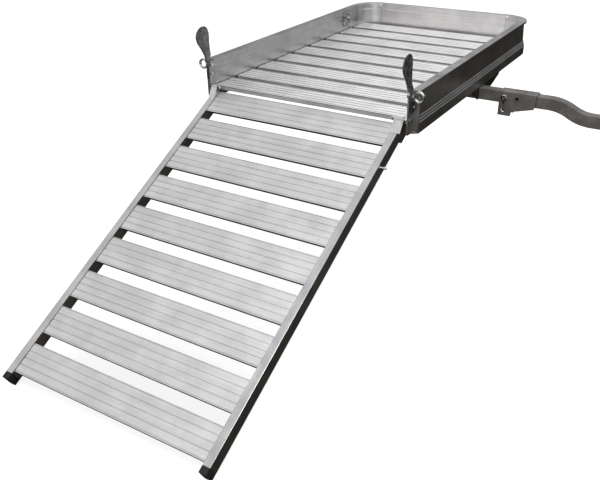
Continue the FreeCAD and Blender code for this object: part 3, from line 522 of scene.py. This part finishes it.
# ---------------------------------------------------------------- nodes from the CAD
def soften(obj, width):
    """Joins the split faces and rounds the sharp edges with modifiers."""
    weld = obj.modifiers.new("join", "WELD")
    weld.merge_threshold = 0.00001
    flat = obj.modifiers.new("merge_flats", "DECIMATE")
    flat.decimate_type = "DISSOLVE"
    flat.angle_limit = math.radians(0.5)
    bevel = obj.modifiers.new("edges", "BEVEL")
    bevel.width = width
    bevel.segments = 2
    bevel.limit_method = "ANGLE"
    bevel.angle_limit = math.radians(28.0)
    bevel.use_clamp_overlap = True


def paint_nodes():
    for name, node in NODES.items():
        node.data.materials.clear()
        node.data.materials.append(material_of(name))


# Round or bent hardware keeps its shape and is shown with smooth shading.
SMOOTH_NODES = [
    "rail_corner_left",
    "rail_corner_right",
    "shank",
    "hinge_spacer",
    "latch_pin",
    "pivot_clip",
    "fold_pivot_bolt",
    "hinge_bolt_left",
    "hinge_bolt_right",
    "eye_bolt_left",
    "eye_bolt_right",
    "rear_eye_left",
    "rear_eye_right",
    "latch_base_bolt_left",
    "latch_base_bolt_right",
]
# How far the edges of the other nodes are rounded, in millimetres, by the start of their names.
BEVELS = {
    "deck_board": 0.5,
    "ramp_slat": 0.5,
    "rail_left": 0.7,
    "rail_right": 0.7,
    "rail_back": 0.7,
    "ledge": 0.4,
    "stringer": 0.8,
    "carrier_tube": 3.0,
    "gusset": 0.8,
    "fold_bracket": 1.2,
    "corner_bracket": 0.8,
    "latch_base": 1.0,
    "ramp_rail": 1.2,
    "ramp_ear": 0.7,
    "ramp_hinge_block": 0.8,
    "foot_cap": 2.2,
}


def smooth_twin(name):
    """A welded, smoothly shaded copy of a node that stands for it."""
    mesh = NODES[name].data.copy()
    mesh.name = name + "_smooth"
    work = bmesh.new()
    work.from_mesh(mesh)
    bmesh.ops.remove_doubles(work, verts=work.verts, dist=0.00001)
    bmesh.ops.dissolve_limit(work, angle_limit=math.radians(0.4), verts=work.verts, edges=work.edges)
    for face in work.faces:
        face.smooth = True
    for edge in work.edges:
        if len(edge.link_faces) != 2 or edge.calc_face_angle(0.0) > math.radians(32.0):
            edge.smooth = False
    work.to_mesh(mesh)
    work.free()
    mesh.materials.clear()
    mesh.materials.append(material_of(name))
    twin = bpy.data.objects.new(name + "_smooth", mesh)
    bpy.context.scene.collection.objects.link(twin)
    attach(twin, BODIES[name])
    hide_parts(name)
    bevel = twin.modifiers.new("edges", "BEVEL")
    bevel.width = 0.5 * MM
    bevel.segments = 2
    bevel.limit_method = "ANGLE"
    bevel.angle_limit = math.radians(40.0)
    bevel.harden_normals = True


def dress_nodes():
    paint_nodes()
    for name, node in NODES.items():
        if name in SMOOTH_NODES:
            smooth_twin(name)
            continue
        for prefix, width in BEVELS.items():
            if name.startswith(prefix):
                soften(node, width * MM)
                break


# ---------------------------------------------------------------- new pieces
def add_piece(name, body, material, mesh, replaced=()):
    """Puts a finished mesh in the scene, riding on a body."""
    mesh.materials.append(material)
    piece = bpy.data.objects.new(name, mesh)
    bpy.context.scene.collection.objects.link(piece)
    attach(piece, body)
    if replaced:
        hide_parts(*replaced)
    return piece


def skin_rings(work, rings, closed_ends=True):
    """Joins rings of equal length into a tube of quads and caps its ends."""
    loops = [[work.verts.new(point) for point in ring] for ring in rings]
    count = len(rings[0])
    for near, far in zip(loops[:-1], loops[1:]):
        for index in range(count):
            after = (index + 1) % count
            work.faces.new((near[index], near[after], far[after], far[index]))
    if closed_ends:
        work.faces.new(list(reversed(loops[0])))
        work.faces.new(loops[-1])
    return loops


def finish_mesh(work, name):
    """Turns finished bmesh work into a smoothly shaded mesh."""
    bmesh.ops.recalc_face_normals(work, faces=work.faces)
    for face in work.faces:
        face.smooth = True
    mesh = bpy.data.meshes.new(name)
    work.to_mesh(mesh)
    work.free()
    return mesh


def between(value, table):
    """Linear interpolation in a table of (key, value) rows."""
    for (key, here), (next_key, there) in zip(table[:-1], table[1:]):
        if value <= next_key:
            part = (value - key) / (next_key - key)
            return here + (there - here) * max(0.0, min(1.0, part))
    return table[-1][1]


# Half-width, half-thickness, inward joggle and hollow of the paddle along its length, in millimetres.
PADDLE_HALF_WIDTH = [
    (8.0, 11.5), (16.0, 13.2), (24.0, 16.5), (32.0, 19.3), (44.0, 20.6), (58.0, 22.0), (72.0, 25.6),
    (93.0, 31.6), (113.0, 39.5), (124.0, 42.0), (134.0, 42.6), (144.0, 41.6), (152.0, 38.4), (159.0, 33.0),
    (164.0, 26.6), (168.0, 18.5), (170.3, 10.0), (171.3, 3.5),
]
PADDLE_HALF_THICKNESS = [(8.0, 3.7), (40.0, 3.6), (90.0, 3.9), (150.0, 3.9), (165.0, 3.3), (171.3, 1.6)]
PADDLE_JOGGLE = [(8.0, 0.0), (20.0, 0.0), (26.0, 1.2), (34.0, 4.4), (42.0, 6.0), (171.3, 6.0)]
PADDLE_HOLLOW = [
    (8.0, 0.0), (52.0, 0.0), (78.0, 1.6), (110.0, 4.2), (140.0, 4.4), (158.0, 2.6), (171.3, 0.0),
]

# Each paddle's lean at rest, from upright towards the ramp, in degrees.
PADDLE_LEAN = {"left": 17.5, "right": 19.5}


def paddle_ring(along, outwards):
    """One cross-section of the paddle: (x, y, z) in millimetres from the pivot, hollow outside."""
    half = between(along, PADDLE_HALF_WIDTH)
    thick = between(along, PADDLE_HALF_THICKNESS)
    joggle = between(along, PADDLE_JOGGLE)
    hollow = between(along, PADDLE_HOLLOW)
    ring = []
    steps = 40
    for index in range(steps):
        turn = 2.0 * math.pi * index / steps
        across = math.copysign(abs(math.cos(turn)) ** 0.72, math.cos(turn))
        off = math.copysign(abs(math.sin(turn)) ** 0.55, math.sin(turn)) * thick
        if off > 0.0:
            off -= hollow * max(0.0, 1.0 - (across / 0.86) ** 2) ** 0.8
        ring.append(((off - joggle) * outwards, across * half, along))
    return ring


def paddle_boss(work, outwards):
    """The round boss: a rounded ring about the pivot bolt."""
    bore, radius, half = 5.05, 12.3, 3.9
    profile = [(bore, -half), (radius - 1.4, -half), (radius, -half + 1.4), (radius, half - 1.4)]
    profile += [(radius - 1.4, half), (bore, half)]
    rings = []
    steps = 48
    for index in range(steps):
        turn = 2.0 * math.pi * index / steps
        rings.append([(x * outwards, r * math.cos(turn), r * math.sin(turn)) for r, x in profile])
    loops = skin_rings(work, rings, closed_ends=False)
    count = len(profile)
    for index in range(count):
        after = (index + 1) % count
        work.faces.new((loops[-1][index], loops[-1][after], loops[0][after], loops[0][index]))


def make_paddle(side):
    outwards = 1.0 if side == "right" else -1.0
    work = bmesh.new()
    stations = [8.0 + step * 4.0 for step in range(39)]
    stations += [164.0, 166.4, 168.4, 169.8, 170.7, 171.3]
    skin_rings(work, [paddle_ring(along, outwards) for along in stations])
    paddle_boss(work, outwards)
    bmesh.ops.scale(work, vec=(MM, MM, MM), verts=work.verts)
    lean = Matrix.Rotation(math.radians(PADDLE_LEAN[side]), 4, "X")
    pivot = Matrix.Translation(JOINTS[f"latch_{side}_pivot"]["pos_m"])
    bmesh.ops.transform(work, matrix=pivot @ lean, verts=work.verts)
    mesh = finish_mesh(work, f"paddle_{side}")
    node = f"latch_paddle_{side}"
    piece = add_piece(f"paddle_{side}_spoon", BODIES[node], GRIP, mesh, [node])
    edges = piece.modifiers.new("keep_edges", "EDGE_SPLIT")
    edges.split_angle = math.radians(60.0)


# ---------------------------------------------------------------- welds, seams and rivets
def make_weld(name, body, start, end, radius, painted=False, facing=(0.0, 0.0, 1.0)):
    """A stacked-ripple weld bead from start to end, domed towards facing."""
    start, end, facing = Vector(start), Vector(end), Vector(facing).normalized()
    along = (end - start).normalized()
    side = along.cross(facing).normalized()
    facing = side.cross(along).normalized()
    length = (end - start).length
    pitch = 2.4 * MM
    steps = max(12, int(length / pitch) * 6)
    rings = []
    for index in range(steps + 1):
        part = index / steps
        phase = (part * length / pitch) % 1.0
        ends = min(1.0, math.sqrt(max(0.0, 1.0 - (2.0 * part - 1.0) ** 16)) + 0.12)
        swell = radius * ends * (0.80 + 0.20 * math.sin(math.pi * phase) ** 0.6)
        wander = side * (radius * 0.10 * math.sin(part * length / (7.3 * MM)))
        ring = []
        for corner in range(10):
            turn = 2.0 * math.pi * corner / 10.0
            lag = along * (-0.45 * pitch * (1.0 - abs(math.cos(turn))) * ends)
            offset = side * (math.cos(turn) * swell * 1.15) + facing * (math.sin(turn) * swell)
            ring.append(start + along * (part * length) + wander + offset + lag)
        rings.append(ring)
    work = bmesh.new()
    skin_rings(work, rings)
    material = PAINTED_WELD if painted else WELD
    add_piece(name, body, material, finish_mesh(work, name))


def ramp_point(x, down, up):
    """A point on the ramp: down along the slope from its datum and up off its rails' top face."""
    return Vector((x, RAMP_DATUM.y, RAMP_DATUM.z)) + RAMP_SLOPE * down + RAMP_NORMAL * up


def weld_slats():
    """Two stitch welds at each end of each slat, under its top skin and against the rail."""
    inner = {"left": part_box("ramp_rail_left")[1].x, "right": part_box("ramp_rail_right")[0].x}
    first, second, length = 14 * MM, 84 * MM, 22 * MM
    off_rail, up = 1.2 * MM, -8.0 * MM
    for number in range(1, SLAT_COUNT + 1):
        start = SLAT_START + (number - 1) * SLAT_PITCH
        for side, face in inner.items():
            inwards = 1.0 if side == "left" else -1.0
            x = face + inwards * off_rail
            facing = Vector((inwards, 0.0, 0.0)) - RAMP_NORMAL
            for stitch, down in (("a", start + first), ("b", start + second)):
                near = ramp_point(x, down, up)
                far = ramp_point(x, down + length, up)
                name = f"slat_weld_{number}_{side}_{stitch}"
                make_weld(name, "ramp", near, far, 2.3 * MM, facing=facing)


def weld_steel():
    """Beads that join the shank, its bracket, the carrier tube and the gussets."""
    shank_step = 3.0 * MM
    gusset_plate = 5.0 * MM
    bracket_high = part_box("fold_bracket")[1]
    tube_low, tube_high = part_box("carrier_tube")
    # The upper run of the shank lies a step below the carrier tube's top.
    top = tube_high.z - shank_step
    x = bracket_high.x + 0.5 * MM
    half = (tube_high.y - tube_low.y) / 2.0
    high = top + 1.4 * MM
    make_weld("shank_weld_top", "hitch_arm", (x, -half, high), (x, half, high), 3.2 * MM, True, (1, 0, 1))
    for side, outwards in (("front", -1.0), ("back", 1.0)):
        y = outwards * (half + 0.8 * MM)
        start = (x, y, top - 48 * MM)
        end = (x, y, top - 1 * MM)
        make_weld(f"shank_weld_{side}", "hitch_arm", start, end, 3.0 * MM, True, (1, outwards, 0))
    for side in ("left", "right"):
        plate_low, plate_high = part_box(f"gusset_{side}")
        inwards = -1.0 if side == "right" else 1.0
        # The flange reaches far inwards, so the plate is found from the rail's side of the box.
        plate_x = plate_high.x - gusset_plate if side == "right" else plate_low.x + gusset_plate
        for face, y in (("front", tube_low.y), ("back", tube_high.y)):
            outwards = -1.0 if face == "front" else 1.0
            start = (plate_x + inwards * 0.6 * MM, y + outwards * 0.6 * MM, tube_low.z + 3 * MM)
            end = (plate_x + inwards * 0.6 * MM, y + outwards * 0.6 * MM, tube_high.z - 6 * MM)
            facing = (inwards, outwards, 0)
            make_weld(f"gusset_weld_{side}_{face}", "deck", start, end, 2.8 * MM, True, facing)


def make_rivet(name, body, centre, normal, radius, height):
    """A low domed rivet head in bright zinc."""
    normal = Vector(normal).normalized()
    side = normal.orthogonal().normalized()
    other = normal.cross(side)
    profile = [(1.0, 0.0), (0.98, 0.28), (0.88, 0.58), (0.70, 0.82), (0.45, 0.95), (0.20, 1.0)]
    rings = []
    for wide, tall in profile:
        ring = []
        for index in range(20):
            turn = 2.0 * math.pi * index / 20
            flat = side * math.cos(turn) + other * math.sin(turn)
            ring.append(Vector(centre) + flat * (radius * wide) + normal * (height * tall))
        rings.append(ring)
    work = bmesh.new()
    skin_rings(work, rings)
    add_piece(name, body, ZINC, finish_mesh(work, name))


def join_rail_corners():
    """Dressed weld seams where the bent corners meet the straight rails, with one rivet beside each seam on the
    back rail.
    """
    back_low, back_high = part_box("rail_back")
    left_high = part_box("rail_left")[1]
    right_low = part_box("rail_right")[0]
    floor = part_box("deck_board_9")[1].z + 2 * MM
    top = back_high.z - 3 * MM
    for side, x, inwards in (("left", back_low.x, 1.0), ("right", back_high.x, -1.0)):
        y = back_low.y + 0.3 * MM
        make_weld(f"back_seam_{side}", "deck", (x, y, floor), (x, y, top), 1.3 * MM, facing=(0, -1, 0))
        rivet = (x - inwards * 9 * MM, back_low.y, back_high.z - 12 * MM)
        make_rivet(f"back_rivet_{side}", "deck", rivet, (0, -1, 0), 9.5 * MM, 4.0 * MM)
    for side, face, inwards in (("left", left_high, 1.0), ("right", right_low, -1.0)):
        x = face.x - inwards * 0.3 * MM
        start = (x, left_high.y, floor)
        end = (x, left_high.y, top)
        make_weld(f"side_seam_{side}", "deck", start, end, 1.3 * MM, facing=(inwards, 0, 0))


def cap_latch_bolts():
    """Domed faces on the heads of the latch base's bolts."""
    for side, outwards in (("left", -1.0), ("right", 1.0)):
        low_corner, high_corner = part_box(f"latch_base_bolt_{side}")
        middle = (low_corner + high_corner) / 2.0
        x = high_corner.x if side == "right" else low_corner.x
        centre = (x - outwards * 0.2 * MM, middle.y, middle.z)
        make_rivet(f"latch_bolt_dome_{side}", "deck", centre, (outwards, 0, 0), 5.6 * MM, 2.6 * MM)


make_camera()
make_floor()
make_world()
make_lights()
bpy.context.scene.view_settings.view_transform = "Standard"
dress_nodes()
for corner in ("left", "right"):
    make_paddle(corner)
weld_slats()
weld_steel()
join_rail_corners()
cap_latch_bolts()
